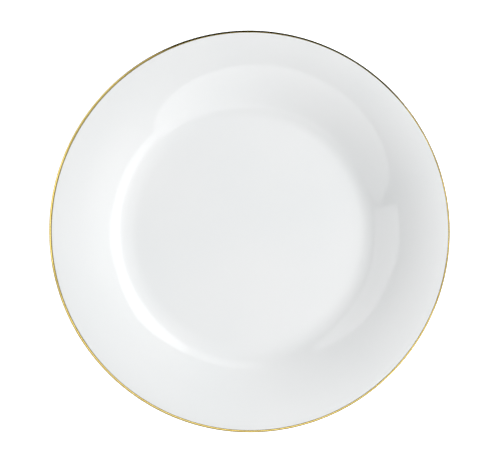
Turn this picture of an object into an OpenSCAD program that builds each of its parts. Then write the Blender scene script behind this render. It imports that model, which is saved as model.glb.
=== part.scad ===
// Porcelain dinner plate with a gilded lip, lying on its foot ring.
// Millimetres, +Z up. The origin is the centre of the foot ring's bearing plane.
// The body is one fired piece. The glaze and the gold line are layers fired on to it,
// and each layer is its own solid that shares its surface with what it lies on.

/* [Face] */
// Diameter of the plate over the gold line
plate_d = 270; // [260:1:290]
// Height of the flat well floor above the table
well_floor_z = 6.5; // [6:0.1:8]
// Diameter of the flat well floor
well_d = 151.6; // [148:0.2:153]
// Radius of the soft bend round the well floor
bend_r = 32; // [28:1:36]
// Slope in degrees at the end of the soft bend
bend_slope = 15.5; // [12:0.5:18]
// Radius of the tighter bend at the foot of the wall
verge_r = 22; // [18:1:28]
// Slope in degrees at the end of the tighter bend
verge_slope = 22.5; // [20:0.5:24]
// Width of the wall, seen from above
wall_w = 4; // [2:0.5:6]
// Slope in degrees at the wall's outer end, where the face is steepest
wall_slope = 24.5; // [24:0.5:28]
// Radius of the convex shoulder outside the wall
shoulder_r = 100; // [80:5:120]
// Slope in degrees at the end of the shoulder
shoulder_slope = 22.5; // [21.5:0.5:23.5]
// Width of the nearly straight inner part of the rim, seen from above
rim_inner_w = 8; // [4:0.5:12]
// Slope in degrees where the rim begins to level out
rim_slope_in = 20.5; // [16:0.5:21]
// Slope in degrees of the rim at the lip
rim_slope_out = 4.5; // [2:0.5:8]

/* [Thickness] */
// Thickness of the glazed shell from the centre to the shoulder
shell_t = 3.7; // [3.4:0.1:4.2]
// Thickness of the glazed lip
lip_t = 2.6; // [2.2:0.1:3.2]

/* [Foot ring] */
// Diameter of the middle of the foot ring's bearing land
foot_d = 155; // [152:0.5:158]
// Width of the flat bearing land
foot_land_w = 2; // [1.5:0.1:3]
// Width over which the foot ring's outer side falls to the land
foot_outer_w = 3.2; // [2.5:0.1:4]
// Width over which the foot ring's inner side falls to the land
foot_inner_w = 3; // [2.5:0.1:3.5]
// Rise of the recess inside the foot ring from its edge to its centre
recess_dome = 0.25; // [0.1:0.05:0.5]

/* [Glaze and gold] */
// Thickness of the fired glaze
glaze_t = 0.2; // [0.15:0.01:0.3]
// Width of the bare strip beside the land, where the glaze is wiped off
dry_w = 1.1; // [0.8:0.1:1.5]
// Thickness of the gold line
gold_t = 0.1; // [0.08:0.01:0.15]
// Width of the gold line on the face, inward from the round of the lip
gold_face_w = 0.2; // [0.1:0.05:1.5]
// Width of the gold line on the back, inward from the round of the lip
gold_back_w = 0.8; // [0.1:0.05:1.5]

/* [Hidden] */
$fn = 180;

body_colour = "#f2efe9";
glaze_colour = "#fbfcfd";
gold_colour = "#d2a94e";

// Steps along each curved stretch of the outline
bend_steps = 9;
verge_steps = 6;
wall_steps = 4;
shoulder_steps = 4;
rim_inner_steps = 4;
rim_steps = 15;
lip_steps = 16;
recess_steps = 10;
foot_glazed_steps = 7;
foot_bare_steps = 4;

// Radii of the knots where one stretch of the face meets the next
lip_r = lip_t / 2;
well_r = well_d / 2;
bend_end = well_r + bend_r * sin(bend_slope);
verge_end = bend_end + verge_r * (sin(verge_slope) - sin(bend_slope));
wall_end = verge_end + wall_w;
shoulder_end = wall_end + shoulder_r * (sin(wall_slope) - sin(shoulder_slope));
rim_inner_end = shoulder_end + rim_inner_w;
lip_start = plate_d / 2 - gold_t - lip_r * (1 + sin(rim_slope_out));
gold_start = lip_start - gold_face_w;

// Radii of the foot ring's land, of its sides and of the lines where the glaze stops
land_in = (foot_d - foot_land_w) / 2;
land_out = (foot_d + foot_land_w) / 2;
foot_in = land_in - foot_inner_w;
foot_out = land_out + foot_outer_w;
glaze_line_in = land_in - dry_w;
glaze_line_out = land_out + dry_w;

// Knots of the face: radius, sine of the slope there and steps from the knot before. Between
// knots the sine is linear in the radius, so that every stretch is a flat or an arc and each
// runs on smoothly from the last.
face_knots = [
    [0, 0, 0],
    [well_r, 0, 1],
    [bend_end, sin(bend_slope), bend_steps],
    [verge_end, sin(verge_slope), verge_steps],
    [wall_end, sin(wall_slope), wall_steps],
    [shoulder_end, sin(shoulder_slope), shoulder_steps],
    [rim_inner_end, sin(rim_slope_in), rim_inner_steps],
    [lip_start, sin(rim_slope_out), rim_steps]
];
slope_sines = [for (knot = face_knots) [knot[0], knot[1]]];
first_bend = 2;
last_knot = len(face_knots) - 1;

function sum(v, i = 0) = i < len(v) ? v[i] + sum(v, i + 1) : 0;
function cosine(s) = sqrt(1 - s * s);
function steps(a, b, n) = [for (i = [1:n]) a + (b - a) * i / n];
function smooth(u) = let (v = min(1, max(0, u))) v * v * (3 - 2 * v);
function reversed(v) = [for (i = [len(v) - 1:-1:0]) v[i]];
function unit(v) = v / norm(v);

// Height gained between two radii of one stretch, given the sines of its slope there
function rise(r0, s0, r1, s1) =
    abs(s1 - s0) < 1e-9
        ? (r1 - r0) * s0 / cosine(s0)
        : (r1 - r0) * (cosine(s0) - cosine(s1)) / (s1 - s0);

// The glazed face as a function of radius
function face_sine(r) = lookup(r, slope_sines);
function face_z(r) = well_floor_z + sum([
    for (k = [1:last_knot])
        let (r0 = min(r, face_knots[k - 1][0]), r1 = min(r, face_knots[k][0]))
        rise(r0, face_sine(r0), r1, face_sine(r1))
]);
function face_point(r) = [r, face_z(r)];

// The glazed back lies one shell thickness below the face, and the shell thins along the rim.
function rim_share(r) = max(0, (r - rim_inner_end) / (lip_start - rim_inner_end));
function thickness(r) = shell_t - (shell_t - lip_t) * pow(rim_share(r), 2);
function back_point(r) =
    let (s = face_sine(r), t = thickness(r))
    [r + t * s, face_z(r) - t * cosine(s)];

// Radius of the face above the point of the back at radius x, closer with each round
function radius_above(x, rounds = 8) =
    rounds == 0 ? x : x - shell_t * face_sine(radius_above(x, rounds - 1));

// The foot ring grows out of the back under the well bend: 1 on its land, 0 beyond its sides.
function foot_share(x) = min(smooth((x - foot_in) / foot_inner_w), smooth((foot_out - x) / foot_outer_w));
function dome(x) = recess_dome * max(0, 1 - pow(x / foot_in, 2));
function foot_point(x) =
    let (p = back_point(radius_above(x)))
    [x, (p[1] + dome(x)) * (1 - foot_share(x))];

// The round of the lip, from its tangent on the face to its tangent on the back
lip_centre = (face_point(lip_start) + back_point(lip_start)) / 2;
lip_round = [
    for (a = steps(90 + rim_slope_out, rim_slope_out - 90, lip_steps))
        lip_centre + lip_r * [cos(a), sin(a)]
];

// Stretches of the glazed outline, in order from the middle of the face to the middle of the back
face_radii = concat([0], [
    for (k = [1:last_knot])
        for (r = steps(
            face_knots[k - 1][0],
            k == last_knot ? gold_start : face_knots[k][0],
            face_knots[k][2]
        )) r
]);
back_end = radius_above(foot_out);
back_radii = concat([lip_start - gold_back_w], [
    for (k = [last_knot:-1:first_bend])
        for (r = steps(
            k == last_knot ? lip_start - gold_back_w : face_knots[k][0],
            max(back_end, face_knots[k - 1][0]),
            face_knots[k][2]
        )) r
]);
face_path = [for (r = face_radii) face_point(r)];
lip_path = concat([face_point(lip_start)], lip_round);
back_path = [for (r = back_radii) back_point(r)];
foot_outer_path = [for (x = steps(foot_out, glaze_line_out, foot_glazed_steps)) foot_point(x)];
foot_bare_path = [
    for (x = concat(
        steps(glaze_line_out, land_out, foot_bare_steps),
        [land_in],
        steps(land_in, glaze_line_in, foot_bare_steps)
    )) foot_point(x)
];
recess_path = [
    for (x = concat(
        [glaze_line_in],
        steps(glaze_line_in, foot_in, foot_glazed_steps),
        steps(foot_in, 0, recess_steps)
    )) foot_point(x)
];
main_glaze_path = concat(face_path, lip_path, back_path, foot_outer_path);
gold_path = concat([face_path[len(face_path) - 1]], lip_path, [back_path[0]]);

// The outward normal at point i of a path that has the solid on its right
function normal_at(path, i) =
    let (
        before = i > 0 ? unit(path[i] - path[i - 1]) : [0, 0],
        after = i < len(path) - 1 ? unit(path[i + 1] - path[i]) : [0, 0],
        t = unit(before + after)
    )
    path[i][0] == 0 ? [0, sign(t[0])] : [-t[1], t[0]];

// A path moved outward by t, except at an end that stays in place as a feather edge
function shifted(path, t, first_stays, last_stays) = [
    for (i = [0:len(path) - 1])
        let (stays = (i == 0 && first_stays) || (i == len(path) - 1 && last_stays))
        path[i] + (stays ? 0 : t) * normal_at(path, i)
];
function without_first(path) = [for (i = [1:len(path) - 1]) path[i]];
function without_last(path) = [for (i = [0:len(path) - 2]) path[i]];

main_bed = shifted(main_glaze_path, -glaze_t, false, true);
recess_bed = shifted(recess_path, -glaze_t, true, false);
gold_outside = shifted(gold_path, gold_t, true, true);

module turned(outline) {
    rotate_extrude() polygon(outline);
}

// Fired clay, bare only on the foot ring's land and beside it
module porcelain_body() {
    color(body_colour) turned(concat(main_bed, foot_bare_path, without_first(recess_bed)));
}

// Glaze over the face, round the lip and down the back to the outer side of the foot ring
module main_glaze() {
    color(glaze_colour) turned(concat(main_glaze_path, reversed(without_last(main_bed))));
}

// Glaze in the recess inside the foot ring, cut off from the rest by the wiped land
module foot_recess_glaze() {
    color(glaze_colour) turned(concat(recess_path, reversed(without_first(recess_bed))));
}

// Gold line fired over the glaze, round the lip from face to back
module gold_rim_line() {
    color(gold_colour) turned(concat(gold_outside, reversed(without_first(without_last(gold_path)))));
}

porcelain_body();
main_glaze();
foot_recess_glaze();
gold_rim_line();
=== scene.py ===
"""China dinner plate with a gilded lip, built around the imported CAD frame.

Metres, +Z up, the same frame as the CAD. The plate lies on its foot ring and the camera looks
down on its face. Every visible piece is a lathe-turned mesh whose outline is read from the CAD
nodes, softened the way fired glaze is, and warped a little as fired ware is.
"""
import math

import bpy
import numpy as np
from mathutils import Matrix, Vector


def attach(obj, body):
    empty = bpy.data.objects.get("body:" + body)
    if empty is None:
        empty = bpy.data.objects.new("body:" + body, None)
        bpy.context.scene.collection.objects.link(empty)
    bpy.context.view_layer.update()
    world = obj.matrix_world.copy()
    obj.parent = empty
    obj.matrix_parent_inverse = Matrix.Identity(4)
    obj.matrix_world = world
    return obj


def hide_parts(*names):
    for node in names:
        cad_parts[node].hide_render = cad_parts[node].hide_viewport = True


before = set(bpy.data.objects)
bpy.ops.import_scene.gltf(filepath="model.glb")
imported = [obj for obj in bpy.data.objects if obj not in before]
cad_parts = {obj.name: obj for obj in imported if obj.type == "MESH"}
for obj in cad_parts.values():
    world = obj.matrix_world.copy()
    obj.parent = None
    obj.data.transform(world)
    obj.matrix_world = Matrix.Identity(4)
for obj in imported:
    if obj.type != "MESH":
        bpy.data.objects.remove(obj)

MM = 0.001
UP = Vector((0, 0, 1))
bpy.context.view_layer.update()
TINY = 1e-6                                 # stands in for zero in a division or a comparison

# ---------------------------------------------------------------- sizes: meshes
SEGMENTS = 320       # lathe steps round the plate
TURN = np.linspace(0, 2 * math.pi, SEGMENTS, endpoint=False)
SAME_POINT = 4e-6                           # CAD points about this near are one outline point
SHARP_EDGE = math.radians(50)               # a steeper crease than this is shaded as an edge

# Distances between the rings along an outline
RING_TURN = math.radians(2.6)               # how much the outline may turn between two rings
TIGHT_BEND = 1 / (16 * MM)                  # where it bends more, rings also follow the softness
RING_REACH_SHARE = 0.8                      # and are at most this share of it apart
SLIGHT_BEND = 0.05                          # radians a metre, and less than this counts as flat
FINEST_RING_STEP = 0.09 * MM
WIDEST_RING_STEP = 1.3 * MM                 # where the outline bends
FLAT_RING_STEP = 4.0 * MM                   # where it is flat

# ---------------------------------------------------------------- sizes: softness of the outlines
FINE_STEP = 0.04 * MM                       # sampling of an outline before it is softened
FACE_SOFTNESS = 0.45 * MM                   # how far the glaze rounds a change of slope
BACK_SOFTNESS = 0.9 * MM
LIP_SOFTNESS = 0.10 * MM
LAND_SOFTNESS = 0.12 * MM
LIP_REACH = (2.6 * MM, 8.0 * MM)            # from the lip's tip: all lip softness, then none of it
GLAZE_END_REACH = (0.0, 1.0 * MM, 8.0 * MM)             # distances from where the glaze stops
GLAZE_END_SOFTNESS = (0.0, 0.15 * MM, BACK_SOFTNESS)    # and the most softness at each
AVERAGING_SPAN = 3                          # neighbours count out to this many times the softness
LEAST_REACH = 0.3                           # of a fine step; with less, a point stays as it is

# ---------------------------------------------------------------- sizes: warp of the fired plate
WARP_START = 82 * MM                        # the foot and the well stay flat inside this radius
RIM_RADIUS = 135 * MM
WARP_SHARE_LIMIT = 1.05
WARP_WAVES = (                              # (waves round the rim, height at the lip, phase)
    (2, 0.16 * MM, 0.6),
    (3, 0.06 * MM, 2.1),
    (5, 0.03 * MM, 4.0),
)

# ---------------------------------------------------------------- sizes: gold line
GOLD_THICKNESS = 0.02 * MM
GOLD_BURIED = 0.004 * MM                    # how far the gold's hidden side sits in the glaze
GOLD_EDGE_FEATHER = 0.10 * MM
GOLD_RINGS = 40
GOLD_HIDDEN_RINGS = 12
GOLD_LINE_WAVES = (                         # hand lining: (waves round, width change, phase)
    (1, 0.22 * MM, 2.97),
    (2, 0.08 * MM, 1.57),
    (5, 0.025 * MM, 0.4),
    (11, 0.018 * MM, 2.9),
    (23, 0.012 * MM, 5.0),
    (47, 0.008 * MM, 1.7),
)
GOLD_BACK_PHASE = 1.9                       # turns the same waves for the edge on the back

# ---------------------------------------------------------------- looks
MOST_NOISE = (0.3, 0.7)                     # nearly all of a noise's values lie between these

GLAZE_NOISE = (0.35, 0.65)
GLAZE_COLOURS = ((0.828, 0.846, 0.851), (0.848, 0.859, 0.862))
GLAZE_ROUGHNESS = (0.022, 0.045)
GLAZE_IOR = 1.5
GLAZE_RIPPLE = 0.09 * MM                    # bump heights of its long waves
GLAZE_PEEL = 0.006 * MM                     # and of its orange peel
SPECK_SCALE = 46.0
SPECK_RARITY = 0.93                         # share of the cells that have no speck
SPECK_EDGE = (0.006, 0.012)                 # in cells: where a speck begins to fade and ends
SPECK_STRENGTH = 0.35
SPECK_COLOUR = (0.42, 0.38, 0.33)

CLAY_COLOURS = ((0.62, 0.575, 0.50), (0.72, 0.69, 0.63))
CLAY_ROUGHNESS = (0.62, 0.86)
CLAY_IOR = 1.48
CLAY_GRAIN = 0.03 * MM
SCUFF_HEIGHT = (0.02 * MM, 0.25 * MM)       # above the table: scuffs fade out between these
SCUFF_NOISE = (0.42, 0.68)
SCUFF_STRENGTH = 0.55
SCUFF_COLOUR = (0.33, 0.31, 0.29)

GOLD_COLOURS = ((0.92, 0.70, 0.21), (0.98, 0.79, 0.30))
GOLD_ROUGHNESS = (0.12, 0.24)
WEAR_NOISE = (0.68, 0.80)
WEAR_STRENGTH = 0.5
WORN_GOLD_COLOUR = (0.78, 0.68, 0.50)
WORN_GOLD_ROUGHNESS = 0.3                   # added where it is worn
STREAKS_ROUND = 6.0                         # brush streaks: noise cells a radian round the lip
STREAKS_ACROSS = 9000.0                     # and a metre across it
STREAK_DEPTH = 0.004 * MM

# ---------------------------------------------------------------- camera and stage
CAMERA_DISTANCE = 1.35
CAMERA_TILT_X = math.radians(-4.7)          # the camera stands a little to the plate's left
CAMERA_TILT_Y = math.radians(-1.6)          # and a little below its axis
CAMERA_TARGET = Vector((-0.00075, -0.00074, 0.0205))
PICTURE_UP = Vector((0, 1, 0))              # towards the top of the picture
VIEW_WIDTH = 0.3354                         # width of what the frame takes in at the rim
SENSOR_WIDTH = 36.0
CLIP_RANGE = (0.01, 50)

WHITE = (1.0, 1.0, 1.0)
BLACK = (0.0, 0.0, 0.0)
FLOOR_RADIUS = 4.0
FLOOR_RINGS = 6
FLOOR_SEGMENTS = 96
FLOOR_COLOURS = ((0.93, 0.93, 0.93), (0.95, 0.95, 0.95))
FLOOR_ROUGHNESS = 0.9
FLOOR_GLOW_RADII = (0.118, 0.137)           # under the rim: none inside the first, all past the second
FLOOR_GLOW = 0.62
BACKDROP_RADIUS = 9.0
BACKDROP_GLOW = 0.93

# ---------------------------------------------------------------- lights
SOFTBOX_DISTANCE = 2.2
# (name, azimuth, near edge and far edge in degrees off the plate's axis, width in metres,
#  metres moved sideways, radiance)
SOFTBOXES = (
    ("right_box_inner", 4, 43.8, 58, 0.81, 0.0, 2.0),
    ("right_box", 4, 58, 76, 1.15, 0.0, 10.2),
    ("upper_box_inner_near_half", 38, 42.8, 58, 0.545, -0.2725, 2.5),
    ("upper_box_inner_far_half", 38, 42.8, 58, 0.545, 0.2725, 2.5),
    ("upper_box", 38, 58, 76, 1.37, 0.0, 4.7),
    ("upper_strip", 77, 43, 53, 1.04, 0.0, 1.1),
    ("lower_right_card", 332, 42.8, 58, 0.98, 0.0, 1.9),
    ("lower_right_far_card", 323, 58, 76, 1.15, 0.0, 1.0),
    ("table_card", 254, 19.2, 47.8, 3.80, -0.13, 1.5),
    ("table_card_low", 254, 47.3, 80.7, 3.80, -0.13, 0.05),
)
# These light the plate but aren't mirrored: the lip would show them as a glare
NOT_MIRRORED = ("right_box", "upper_box")
# Kept off the gold line, which stays dark where it faces them
NOT_ON_GOLD = ("upper_box_inner_far_half", "upper_strip")
# Two boards stand upright on the left, edge to edge, paler at the top, where the rim mirrors them:
# (name, one lower corner, the other, heights of the lower and upper edge, radiance)
BOARDS = (
    ("side_board_low", (-1.07, -0.17), (-1.07, 0.56), (0.02, 1.30), 1.1),
    ("side_board_top", (-1.07, -0.17), (-1.07, 0.56), (1.30, 1.88), 1.75),
    ("turned_board_low", (-1.07, 0.56), (-0.60, 1.53), (0.02, 1.30), 0.6),
    ("turned_board_top", (-1.07, 0.56), (-0.60, 1.53), (1.30, 1.88), 1.5),
)
# Radiance of the room round the lights, above the table's level and below it
ROOM_ABOVE = 0.15
ROOM_BELOW = 0.55
ROOM_LEVEL_FADE = (-0.05, 0.05)             # sines of the heights where one turns into the other
# A dark quarter of the room, which the lip mirrors at its upper right
ROOM_DARK = 0.01
DARK_AZIMUTH = 72
DARK_EDGE = (0.58, 0.64)                    # cosines of the angles where it fades
# A pale patch of ceiling, which the flat of the gold line mirrors
CEILING_AZIMUTH = 40
CEILING_OFF_AXIS = 13
CEILING_FADE = (11, 16)                     # degrees from its middle where it fades and ends
CEILING_RADIANCE = 0.3


# ---------------------------------------------------------------- outlines from the CAD nodes
def outline(node):
    """The outline that a turned CAD node was swept from, in order, as an array of (radius, z)."""
    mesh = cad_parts[node].data
    points = np.zeros(len(mesh.vertices) * 3)
    mesh.vertices.foreach_get("co", points)
    points = points.reshape(-1, 3)
    places, place_of = merged(np.c_[np.hypot(points[:, 0], points[:, 1]), points[:, 2]])
    edges = np.zeros(len(mesh.edges) * 2, int)
    mesh.edges.foreach_get("vertices", edges)
    pairs = place_of[edges.reshape(-1, 2)]
    next_to = [set() for _ in places]
    for first, second in pairs[pairs[:, 0] != pairs[:, 1]]:
        next_to[first].add(int(second))
        next_to[second].add(int(first))
    ends = [i for i, neighbours in enumerate(next_to) if len(neighbours) == 1]
    start = max(ends, key=lambda i: places[i][1]) if ends else 0
    chain, seen = [start], {start}
    while True:
        ahead = [i for i in next_to[chain[-1]] if i not in seen]
        if not ahead:
            break
        chain.append(ahead[0])
        seen.add(ahead[0])
    if len(chain) != len(places):
        raise RuntimeError(f"{node}: the outline has {len(places)} points, {len(chain)} in order")
    return np.array([places[i] for i in chain])


def merged(points):
    """The distinct places among (radius, z) points, and which place each point is at."""
    cells = {}
    places = []
    place_of = np.zeros(len(points), int)
    for i, (radius, z) in enumerate(points):
        column, row = round(radius / SAME_POINT), round(z / SAME_POINT)
        near = [(column + across, row + up) for across in (-1, 0, 1) for up in (-1, 0, 1)]
        found = next((cells[cell] for cell in near if cell in cells), None)
        if found is None:
            found = len(places)
            cells[column, row] = found
            places.append((radius, z))
        place_of[i] = found
    return places, place_of


def along(path):
    """Distance from the start of a path to each of its points."""
    return np.r_[0, np.cumsum(np.hypot(*np.diff(path, axis=0).T))]


def resample(path, places):
    """The path's points at the given distances from its start."""
    distance = along(path)
    return np.c_[np.interp(places, distance, path[:, 0]), np.interp(places, distance, path[:, 1])]


def nearest(path, place):
    """Index of the path's point that is nearest to a place."""
    return int(np.argmin(np.hypot(*(path - place).T)))


def reach_within(distance, path, reach_at):
    """Softness at each point, less near the path's ends so that no averaging passes them."""
    to_end = np.minimum(distance, distance[-1] - distance)
    return np.minimum(reach_at(distance, path), to_end / AVERAGING_SPAN)


def soften(path, reach_at):
    """The path, evenly sampled, each point averaged with its neighbours within its own reach."""
    length = along(path)[-1]
    distance = np.linspace(0, length, int(length / FINE_STEP) + 1)
    step = distance[1]
    fine = resample(path, distance)
    reach = reach_within(distance, fine, reach_at)
    result = fine.copy()
    for i in np.nonzero(reach > LEAST_REACH * step)[0]:
        half = int(math.ceil(AVERAGING_SPAN * reach[i] / step))
        low, high = max(0, i - half), min(len(distance), i + half + 1)
        weight = np.exp(-0.5 * ((distance[low:high] - distance[i]) / reach[i]) ** 2)
        result[i] = weight @ fine[low:high] / weight.sum()
    return result


def ring_places(path, reach_at):
    """Where along a softened path the lathe's rings go: close together where it bends."""
    distance = along(path)
    change = np.diff(path, axis=0)
    heading = np.unwrap(np.arctan2(change[:, 1], change[:, 0]))
    bend = np.abs(np.gradient(heading, distance[1:]))
    reach = reach_within(distance, path, reach_at)[1:]
    step = RING_TURN / np.maximum(bend, TINY)
    step = np.where(bend > TIGHT_BEND, np.minimum(step, RING_REACH_SHARE * reach), step)
    widest = np.where(bend > SLIGHT_BEND, WIDEST_RING_STEP, FLAT_RING_STEP)
    rings = np.diff(distance) / np.clip(step, FINEST_RING_STEP, widest)
    progress = np.r_[0, np.cumsum(rings)]
    count = int(np.ceil(rings.sum()))
    return np.interp(np.linspace(0, progress[-1], count + 1), progress, distance)


# ---------------------------------------------------------------- turning meshes
def warp(radius, angle):
    """How far fired ware has moved up or down at a place, none of it near the foot."""
    share = (radius - WARP_START) / (RIM_RADIUS - WARP_START)
    waves = sum(height * np.cos(n * angle + phase) for n, height, phase in WARP_WAVES)
    return np.clip(share, 0, WARP_SHARE_LIMIT) ** 2 * waves


def add_mesh(name, verts, faces):
    mesh = bpy.data.meshes.new(name)
    mesh.from_pydata(verts, [], faces)
    obj = bpy.data.objects.new(name, mesh)
    bpy.context.scene.collection.objects.link(obj)
    return obj


def turned(name, radius, z, closed_loop):
    """A closed mesh from rings of (radius, z), the solid on the right of the outline.
    Unless the outline is a loop, its first and last points are on the axis."""
    radius = np.broadcast_to(radius, (len(radius), SEGMENTS))
    z = np.broadcast_to(z, radius.shape) + warp(radius, TURN)
    off_axis = slice(None) if closed_loop else slice(1, -1)
    ring_radius, ring_z = radius[off_axis], z[off_axis]
    count = len(ring_radius)
    points = np.stack([ring_radius * np.cos(TURN), ring_radius * np.sin(TURN), ring_z], -1)
    ring = np.arange(count if closed_loop else count - 1)[:, None]
    segment = np.arange(SEGMENTS)[None, :]
    after = (segment + 1) % SEGMENTS
    this_ring, next_ring = ring * SEGMENTS, (ring + 1) % count * SEGMENTS
    corners = (this_ring + segment, next_ring + segment, next_ring + after, this_ring + after)
    verts = points.reshape(-1, 3).tolist()
    faces = np.stack(corners, -1).reshape(-1, 4).tolist()
    if not closed_loop:
        last_ring = (count - 1) * SEGMENTS
        first_pole, last_pole = len(verts), len(verts) + 1
        verts += [[0, 0, float(z[0].mean())], [0, 0, float(z[-1].mean())]]
        for j in range(SEGMENTS):
            k = (j + 1) % SEGMENTS
            faces.append([first_pole, j, k])
            faces.append([last_pole, last_ring + k, last_ring + j])
    obj = add_mesh(name, verts, faces)
    obj.data.validate()
    obj.data.shade_smooth()
    obj.data.set_sharp_from_angle(angle=SHARP_EDGE)
    obj.data.update()
    return obj


def turned_solid(name, path):
    """A mesh turned from an outline that runs from the axis to the axis."""
    return turned(name, path[:, :1], path[:, 1:], False)


def dress(obj, node, material):
    obj.data.materials.append(material)
    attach(obj, "root")
    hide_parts(node)
    return obj


# ---------------------------------------------------------------- the plate's outlines
def glaze_reach(distance, path):
    """Softness along the main glaze: wide on face and back, small round the lip, none at its end."""
    lip = distance[np.argmax(path[:, 0])]
    wide = np.where(distance < lip, FACE_SOFTNESS, BACK_SOFTNESS)
    share = np.clip((np.abs(distance - lip) - LIP_REACH[0]) / (LIP_REACH[1] - LIP_REACH[0]), 0, 1)
    reach = LIP_SOFTNESS + (wide - LIP_SOFTNESS) * share
    to_end = distance[-1] - distance
    return np.minimum(reach, np.interp(to_end, GLAZE_END_REACH, GLAZE_END_SOFTNESS))


def recess_reach(distance, path):
    """Softness along the recess glaze, which starts where the glaze stops."""
    return np.interp(distance, GLAZE_END_REACH, GLAZE_END_SOFTNESS)


def land_reach(distance, path):
    return np.full(len(distance), LAND_SOFTNESS)


def axis_start(path):
    return path if path[0, 0] < TINY else np.vstack([[0, path[0, 1]], path])


def axis_end(path):
    return path if path[-1, 0] < TINY else np.vstack([path, [0, path[-1, 1]]])


def build_outlines():
    """The softened outer outlines of both glazes and of the bare land, and the glazes' inner ones."""
    main = outline("main_glaze")
    turn = int(np.argmin(main[:, 1]))
    recess = outline("foot_recess_glaze")
    if recess[0, 1] > recess[-1, 1]:
        recess = recess[::-1]
    edge = int(np.argmin(recess[:, 1]))
    sides = recess[: edge + 1][::-1], recess[edge:]
    recess_outside, recess_inside = sorted(sides, key=lambda side: side[-1, 1])
    body = outline("porcelain_body")
    land = body[nearest(body, main[turn]):nearest(body, recess[edge]) + 1]
    return {
        "surface": soften(axis_start(main[: turn + 1]), glaze_reach),
        "inside": axis_end(main[turn:]),
        "recess_surface": soften(recess_outside, recess_reach),
        "recess_inside": recess_inside,
        "land": soften(land, land_reach),
    }


# ---------------------------------------------------------------- the four pieces
def build_glaze(lines, material):
    face = resample(lines["surface"], ring_places(lines["surface"], glaze_reach))
    glaze = turned_solid("glaze_coat", np.vstack([face, lines["inside"][1:]]))
    dress(glaze, "main_glaze", material)


def build_recess_glaze(lines, material):
    recess = resample(lines["recess_surface"], ring_places(lines["recess_surface"], recess_reach))
    path = np.vstack([lines["recess_inside"][::-1], recess[1:]])
    dress(turned_solid("foot_recess_coat", path), "foot_recess_glaze", material)


def build_body(lines, material):
    """The clay has the glazes' inner outlines, joined by the bare land."""
    land = resample(lines["land"], ring_places(lines["land"], land_reach))
    path = np.vstack([lines["inside"][::-1][:-1], land, lines["recess_inside"][1:]])
    dress(turned_solid("fired_body", path), "porcelain_body", material)


def line_width_change(turned_by):
    """How much wider the gold line is at each step round the plate, at one of its edges."""
    return sum(
        change * np.cos(n * TURN + phase + turned_by) for n, change, phase in GOLD_LINE_WAVES
    )


def build_gold(lines, material):
    """The gold line lies on the glaze from its edge on the face to its edge on the back."""
    surface = lines["surface"]
    distance = along(surface)
    gold = outline("gold_rim_line")
    upper = gold[:, 1] > gold[np.argmax(gold[:, 0]), 1]
    on_face, on_back = (
        distance[nearest(surface, side[np.argmin(side[:, 0])])]
        for side in (gold[upper], gold[~upper])
    )
    start = on_face - line_width_change(0)
    width = on_back + line_width_change(GOLD_BACK_PHASE) - start
    ahead = np.gradient(surface, distance, axis=0)
    ahead /= np.hypot(*ahead.T)[:, None]
    outward = np.c_[-ahead[:, 1], ahead[:, 0]]

    def lifted(share, lift):
        """A ring at a share of the line's width, lifted off the glaze: its radii, then its heights."""
        place = start + width * share
        return [
            np.interp(place, distance, surface[:, k]) + lift * np.interp(place, distance, outward[:, k])
            for k in (0, 1)
        ]

    rings = []
    for share in np.linspace(0, 1, GOLD_RINGS + 1):
        edge = np.clip(min(share, 1 - share) * width / GOLD_EDGE_FEATHER, 0, 1)
        rings.append(lifted(share, GOLD_THICKNESS * np.sqrt(edge * (2 - edge))))
    for share in np.linspace(1, 0, GOLD_HIDDEN_RINGS + 2)[1:-1]:
        rings.append(lifted(share, -GOLD_BURIED))
    radius, z = np.array(rings).transpose(1, 0, 2)
    return dress(turned("gold_line", radius, z, True), "gold_rim_line", material)


def build_plate():
    """Builds the four pieces and returns the gold line."""
    lines = build_outlines()
    glaze, clay, gold = glaze_material(), clay_material(), gold_material()
    build_glaze(lines, glaze)
    build_recess_glaze(lines, glaze)
    build_body(lines, clay)
    return build_gold(lines, gold)


# ---------------------------------------------------------------- materials
# Where a mix node has the factor and the two colours that go in, and the colour that comes out
MIX_INPUTS = (0, 6, 7)
MIX_OUTPUT = 2


def set_range(node, between, becomes):
    names = ("From Min", "From Max", "To Min", "To Max")
    for name, value in zip(names, (*between, *becomes)):
        node.inputs[name].default_value = value


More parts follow.
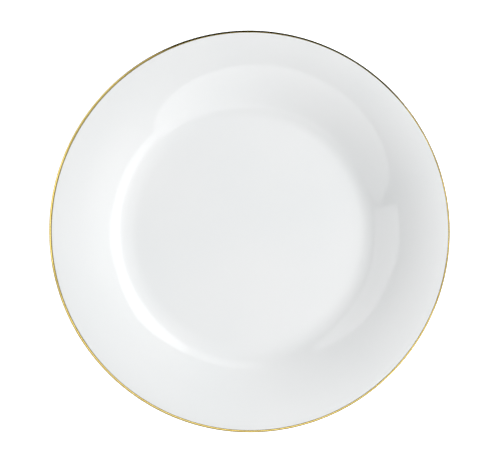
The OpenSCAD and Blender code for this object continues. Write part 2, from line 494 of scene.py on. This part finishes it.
class Nodes:
    """Small helper that adds and links shader nodes."""

    def __init__(self, name):
        self.material = bpy.data.materials.new(name)
        self.material.use_nodes = True
        self.tree = self.material.node_tree
        self.tree.nodes.clear()
        output = self.tree.nodes.new("ShaderNodeOutputMaterial")
        self.shader = self.add("ShaderNodeBsdfPrincipled")
        self.link(self.shader.outputs["BSDF"], output.inputs["Surface"])
        self.place = self.add("ShaderNodeTexCoord").outputs["Object"]

    def add(self, kind, **settings):
        node = self.tree.nodes.new(kind)
        for key, value in settings.items():
            setattr(node, key, value)
        return node

    def link(self, source, target):
        self.tree.links.new(source, target)

    def fill(self, socket, value):
        """Gives a socket a number, a colour or a link, whichever the value is."""
        if isinstance(value, (int, float)):
            socket.default_value = value
        elif isinstance(value, tuple):
            socket.default_value = (*value, 1)
        else:
            self.link(value, socket)

    def noise(self, scale, detail, roughness=0.5, source=None):
        node = self.add("ShaderNodeTexNoise")
        node.inputs["Scale"].default_value = scale
        node.inputs["Detail"].default_value = detail
        node.inputs["Roughness"].default_value = roughness
        self.link(source or self.place, node.inputs["Vector"])
        return node.outputs["Fac"]

    def ramp(self, source, between, colours):
        """The first colour where the source is low, turning into the second between two limits."""
        node = self.add("ShaderNodeValToRGB")
        for element, position, colour in zip(node.color_ramp.elements, between, colours):
            element.position = position
            element.color = (*colour, 1)
        self.link(source, node.inputs["Fac"])
        return node.outputs["Color"]

    def span(self, source, between, becomes):
        """The source's values between two limits, stretched over another two."""
        node = self.add("ShaderNodeMapRange")
        set_range(node, between, becomes)
        self.link(source, node.inputs["Value"])
        return node.outputs["Result"]

    def math(self, operation, *values):
        node = self.add("ShaderNodeMath", operation=operation)
        for socket, value in zip(node.inputs, values):
            self.fill(socket, value)
        return node.outputs[0]

    def mix(self, factor, colour, other):
        node = self.add("ShaderNodeMix", data_type="RGBA")
        for index, value in zip(MIX_INPUTS, (factor, colour, other)):
            self.fill(node.inputs[index], value)
        return node.outputs[MIX_OUTPUT]

    def bump(self, height, distance, below=None):
        node = self.add("ShaderNodeBump")
        node.inputs["Distance"].default_value = distance
        self.link(height, node.inputs["Height"])
        if below is not None:
            self.link(below, node.inputs["Normal"])
        return node.outputs["Normal"]

    def set(self, **values):
        for key, value in values.items():
            self.fill(self.shader.inputs[key.replace("_", " ")], value)


def glaze_material():
    nodes = Nodes("porcelain_glaze")
    colour = nodes.ramp(nodes.noise(scale=11.0, detail=2.0), GLAZE_NOISE, GLAZE_COLOURS)
    specks = nodes.add("ShaderNodeTexVoronoi", feature="F1")
    specks.inputs["Scale"].default_value = SPECK_SCALE
    nodes.link(nodes.place, specks.inputs["Vector"])
    rare = nodes.math("GREATER_THAN", specks.outputs["Color"], SPECK_RARITY)
    near = nodes.span(specks.outputs["Distance"], SPECK_EDGE, (1.0, 0.0))
    speck = nodes.math("MULTIPLY", rare, near)
    colour = nodes.mix(nodes.math("MULTIPLY", speck, SPECK_STRENGTH), colour, SPECK_COLOUR)
    rough = nodes.span(nodes.noise(scale=38.0, detail=4.0), MOST_NOISE, GLAZE_ROUGHNESS)
    ripple = nodes.bump(nodes.noise(scale=26.0, detail=1.0), GLAZE_RIPPLE)
    peel = nodes.bump(nodes.noise(scale=170.0, detail=2.0), GLAZE_PEEL, below=ripple)
    nodes.set(Base_Color=colour, Roughness=rough, IOR=GLAZE_IOR, Normal=peel)
    return nodes.material


def clay_material():
    nodes = Nodes("bare_fired_clay")
    grain = nodes.noise(scale=420.0, detail=5.0, roughness=0.65)
    colour = nodes.ramp(nodes.noise(scale=60.0, detail=4.0), MOST_NOISE, CLAY_COLOURS)
    split = nodes.add("ShaderNodeSeparateXYZ")
    nodes.link(nodes.place, split.inputs[0])
    on_land = nodes.span(split.outputs["Z"], SCUFF_HEIGHT, (1.0, 0.0))
    marks = nodes.noise(scale=95.0, detail=4.0, roughness=0.7)
    marks = nodes.span(marks, SCUFF_NOISE, (0.0, SCUFF_STRENGTH))
    colour = nodes.mix(nodes.math("MULTIPLY", on_land, marks), colour, SCUFF_COLOUR)
    rough = nodes.span(grain, MOST_NOISE, CLAY_ROUGHNESS)
    bumps = nodes.bump(grain, CLAY_GRAIN)
    nodes.set(Base_Color=colour, Roughness=rough, IOR=CLAY_IOR, Normal=bumps)
    return nodes.material


def brush_streaks(nodes):
    """Noise in long streaks round the lip, as the brush left them."""
    split = nodes.add("ShaderNodeSeparateXYZ")
    nodes.link(nodes.place, split.inputs[0])
    x, y, z = (split.outputs[axis] for axis in "XYZ")
    turn = nodes.math("ARCTAN2", y, x)
    squares = (nodes.math("MULTIPLY", side, side) for side in (x, y))
    radius = nodes.math("SQRT", nodes.math("ADD", *squares))
    place = nodes.add("ShaderNodeCombineXYZ")
    scaled = (turn, STREAKS_ROUND), (radius, STREAKS_ACROSS), (z, STREAKS_ACROSS)
    for socket, (source, scale) in zip(place.inputs, scaled):
        nodes.link(nodes.math("MULTIPLY", source, scale), socket)
    return nodes.noise(scale=1.0, detail=3.0, roughness=0.6, source=place.outputs[0])


def gold_material():
    nodes = Nodes("burnished_gold")
    streaks = brush_streaks(nodes)
    colour = nodes.ramp(nodes.noise(scale=120.0, detail=3.0), MOST_NOISE, GOLD_COLOURS)
    wear = nodes.noise(scale=300.0, detail=5.0, roughness=0.7)
    worn = nodes.span(wear, WEAR_NOISE, (0.0, WEAR_STRENGTH))
    colour = nodes.mix(worn, colour, WORN_GOLD_COLOUR)
    worn_roughness = nodes.math("MULTIPLY", worn, WORN_GOLD_ROUGHNESS)
    rough = nodes.math("ADD", nodes.span(streaks, MOST_NOISE, GOLD_ROUGHNESS), worn_roughness)
    bumps = nodes.bump(streaks, STREAK_DEPTH)
    nodes.set(Base_Color=colour, Metallic=1.0, Roughness=rough, Normal=bumps)
    return nodes.material


def floor_material():
    """Pale and dull, and glowing white outside the plate."""
    nodes = Nodes("pale_floor")
    colour = nodes.ramp(nodes.noise(scale=3.0, detail=2.0), MOST_NOISE, FLOOR_COLOURS)
    from_middle = nodes.add("ShaderNodeVectorMath", operation="LENGTH")
    nodes.link(nodes.place, from_middle.inputs[0])
    glow = nodes.span(from_middle.outputs["Value"], FLOOR_GLOW_RADII, (0.0, FLOOR_GLOW))
    nodes.set(Base_Color=colour, Roughness=FLOOR_ROUGHNESS, Specular_IOR_Level=0.0)
    nodes.set(Emission_Color=WHITE, Emission_Strength=glow)
    return nodes.material


def backdrop_material():
    nodes = Nodes("pale_backdrop")
    nodes.set(Base_Color=BLACK, Specular_IOR_Level=0.0)
    nodes.set(Emission_Color=WHITE, Emission_Strength=BACKDROP_GLOW)
    return nodes.material


# ---------------------------------------------------------------- stage
def disc(name, radius, rings, segments):
    """A flat disc at the table's level."""
    radii = np.linspace(0, radius, rings + 1)[1:]
    angles = np.linspace(0, 2 * math.pi, segments, endpoint=False)
    verts = [(0, 0, 0)] + [(r * math.cos(a), r * math.sin(a), 0) for r in radii for a in angles]
    faces = [(0, 1 + j, 1 + (j + 1) % segments) for j in range(segments)]
    for i in range(rings - 1):
        inner, outer = 1 + i * segments, 1 + (i + 1) * segments
        for j in range(segments):
            k = (j + 1) % segments
            faces.append((inner + j, outer + j, outer + k, inner + k))
    return add_mesh(name, verts, faces)


def build_stage():
    floor = disc("floor", FLOOR_RADIUS, FLOOR_RINGS, FLOOR_SEGMENTS)
    floor.data.materials.append(floor_material())
    floor.visible_glossy = False
    bpy.ops.mesh.primitive_uv_sphere_add(segments=48, ring_count=24, radius=BACKDROP_RADIUS)
    backdrop = bpy.context.object
    backdrop.name = "backdrop"
    backdrop.data.materials.append(backdrop_material())
    for flag in ("visible_diffuse", "visible_glossy", "visible_transmission", "visible_shadow"):
        setattr(backdrop, flag, False)


# ---------------------------------------------------------------- placing lights and the camera
def direction(azimuth, off_axis):
    """Unit vector at an azimuth and an angle off the plate's axis, both in degrees."""
    turn, lean = math.radians(azimuth), math.radians(off_axis)
    return Vector((math.sin(lean) * math.cos(turn), math.sin(lean) * math.sin(turn), math.cos(lean)))


def placed(centre, side, up, back):
    """The matrix of an object at a centre, whose own X, Y and Z run along the three directions."""
    return Matrix.Translation(centre) @ Matrix((side, up, back)).transposed().to_4x4()


# ---------------------------------------------------------------- lights
def add_area_light(name, place, width, height, radiance):
    """A rectangular softbox of even radiance that the camera doesn't see."""
    light = bpy.data.lights.new(name, "AREA")
    light.shape = "RECTANGLE"
    light.size = width
    light.size_y = height
    light.energy = radiance * math.pi * width * height
    obj = bpy.data.objects.new(name, light)
    bpy.context.scene.collection.objects.link(obj)
    obj.matrix_world = place
    obj.visible_camera = False
    obj.visible_glossy = name not in NOT_MIRRORED
    return obj


def keep_off(light, obj):
    """The object is neither lit by the light nor mirrors it."""
    group = bpy.data.collections.new(f"unlit_by_{light.name}")
    group.objects.link(obj)
    group.collection_objects[0].light_linking.link_state = "EXCLUDE"
    light.light_linking.receiver_collection = group


def build_softboxes(gold_line):
    for name, azimuth, near, far, width, sideways, radiance in SOFTBOXES:
        towards = direction(azimuth, (near + far) / 2)
        up = (UP - towards * towards.z).normalized()
        side = up.cross(towards)
        height = 2 * SOFTBOX_DISTANCE * math.tan(math.radians(far - near) / 2)
        centre = towards * SOFTBOX_DISTANCE + side * sideways
        box = add_area_light(name, placed(centre, side, up, towards), width, height, radiance)
        if name in NOT_ON_GOLD:
            keep_off(box, gold_line)


def build_boards():
    for name, corner, other, heights, radiance in BOARDS:
        start, end = Vector((*corner, 0)), Vector((*other, 0))
        facing = (end - start).normalized().cross(UP)
        centre = (start + end) / 2 + UP * sum(heights) / 2
        place = placed(centre, facing.cross(UP), UP, -facing)
        add_area_light(name, place, (end - start).length, heights[1] - heights[0], radiance)


def build_room():
    """The room that the plate mirrors between the lights: dim above the table's level, paler below
    it, with a dark quarter and a pale patch of ceiling."""
    world = bpy.data.worlds.new("studio")
    world.use_nodes = True
    tree = world.node_tree

    def add(kind, source, **settings):
        node = tree.nodes.new(kind)
        for key, value in settings.items():
            setattr(node, key, value)
        tree.links.new(source, node.inputs[0])
        return node

    def closeness(source, towards):
        """Cosine of the angle between two directions."""
        node = add("ShaderNodeVectorMath", source, operation="DOT_PRODUCT")
        node.inputs[1].default_value = towards
        return node.outputs["Value"]

    def span(source, between, becomes):
        node = add("ShaderNodeMapRange", source)
        set_range(node, between, becomes)
        return node.outputs[0]

    looking = tree.nodes.new("ShaderNodeTexCoord").outputs["Generated"]
    flat = add("ShaderNodeVectorMath", looking, operation="MULTIPLY")
    flat.inputs[1].default_value = (1, 1, 0)
    level = add("ShaderNodeVectorMath", flat.outputs[0], operation="NORMALIZE").outputs[0]
    lit = span(closeness(level, direction(DARK_AZIMUTH, 90)), DARK_EDGE, (1, 0))
    height = add("ShaderNodeSeparateXYZ", looking).outputs["Z"]
    side = span(height, ROOM_LEVEL_FADE, (ROOM_BELOW - ROOM_DARK, ROOM_ABOVE - ROOM_DARK))
    to_ceiling = closeness(looking, direction(CEILING_AZIMUTH, CEILING_OFF_AXIS))
    inner, outer = (math.cos(math.radians(fade)) for fade in CEILING_FADE)
    patch = span(to_ceiling, (outer, inner), (ROOM_DARK, ROOM_DARK + CEILING_RADIANCE))
    glow = add("ShaderNodeMath", lit, operation="MULTIPLY_ADD")
    tree.links.new(side, glow.inputs[1])
    tree.links.new(patch, glow.inputs[2])
    background = tree.nodes["Background"]
    tree.links.new(glow.outputs[0], background.inputs["Strength"])
    background.inputs["Color"].default_value = (*WHITE, 1)
    bpy.context.scene.world = world


# ---------------------------------------------------------------- camera
def build_camera():
    data = bpy.data.cameras.new("camera")
    camera = bpy.data.objects.new("camera", data)
    bpy.context.scene.collection.objects.link(camera)
    towards = Vector((math.sin(CAMERA_TILT_X), math.sin(CAMERA_TILT_Y), 0))
    towards.z = math.sqrt(1 - towards.length_squared)
    right = PICTURE_UP.cross(towards).normalized()
    place = CAMERA_TARGET + towards * CAMERA_DISTANCE
    camera.matrix_world = placed(place, right, towards.cross(right), towards)
    data.sensor_width = SENSOR_WIDTH
    data.lens = SENSOR_WIDTH * CAMERA_DISTANCE / VIEW_WIDTH
    data.clip_start, data.clip_end = CLIP_RANGE
    bpy.context.scene.camera = camera


# ---------------------------------------------------------------- put it together
gold_line = build_plate()
build_stage()
build_softboxes(gold_line)
build_boards()
build_room()
build_camera()
bpy.context.scene.view_settings.view_transform = "Standard"
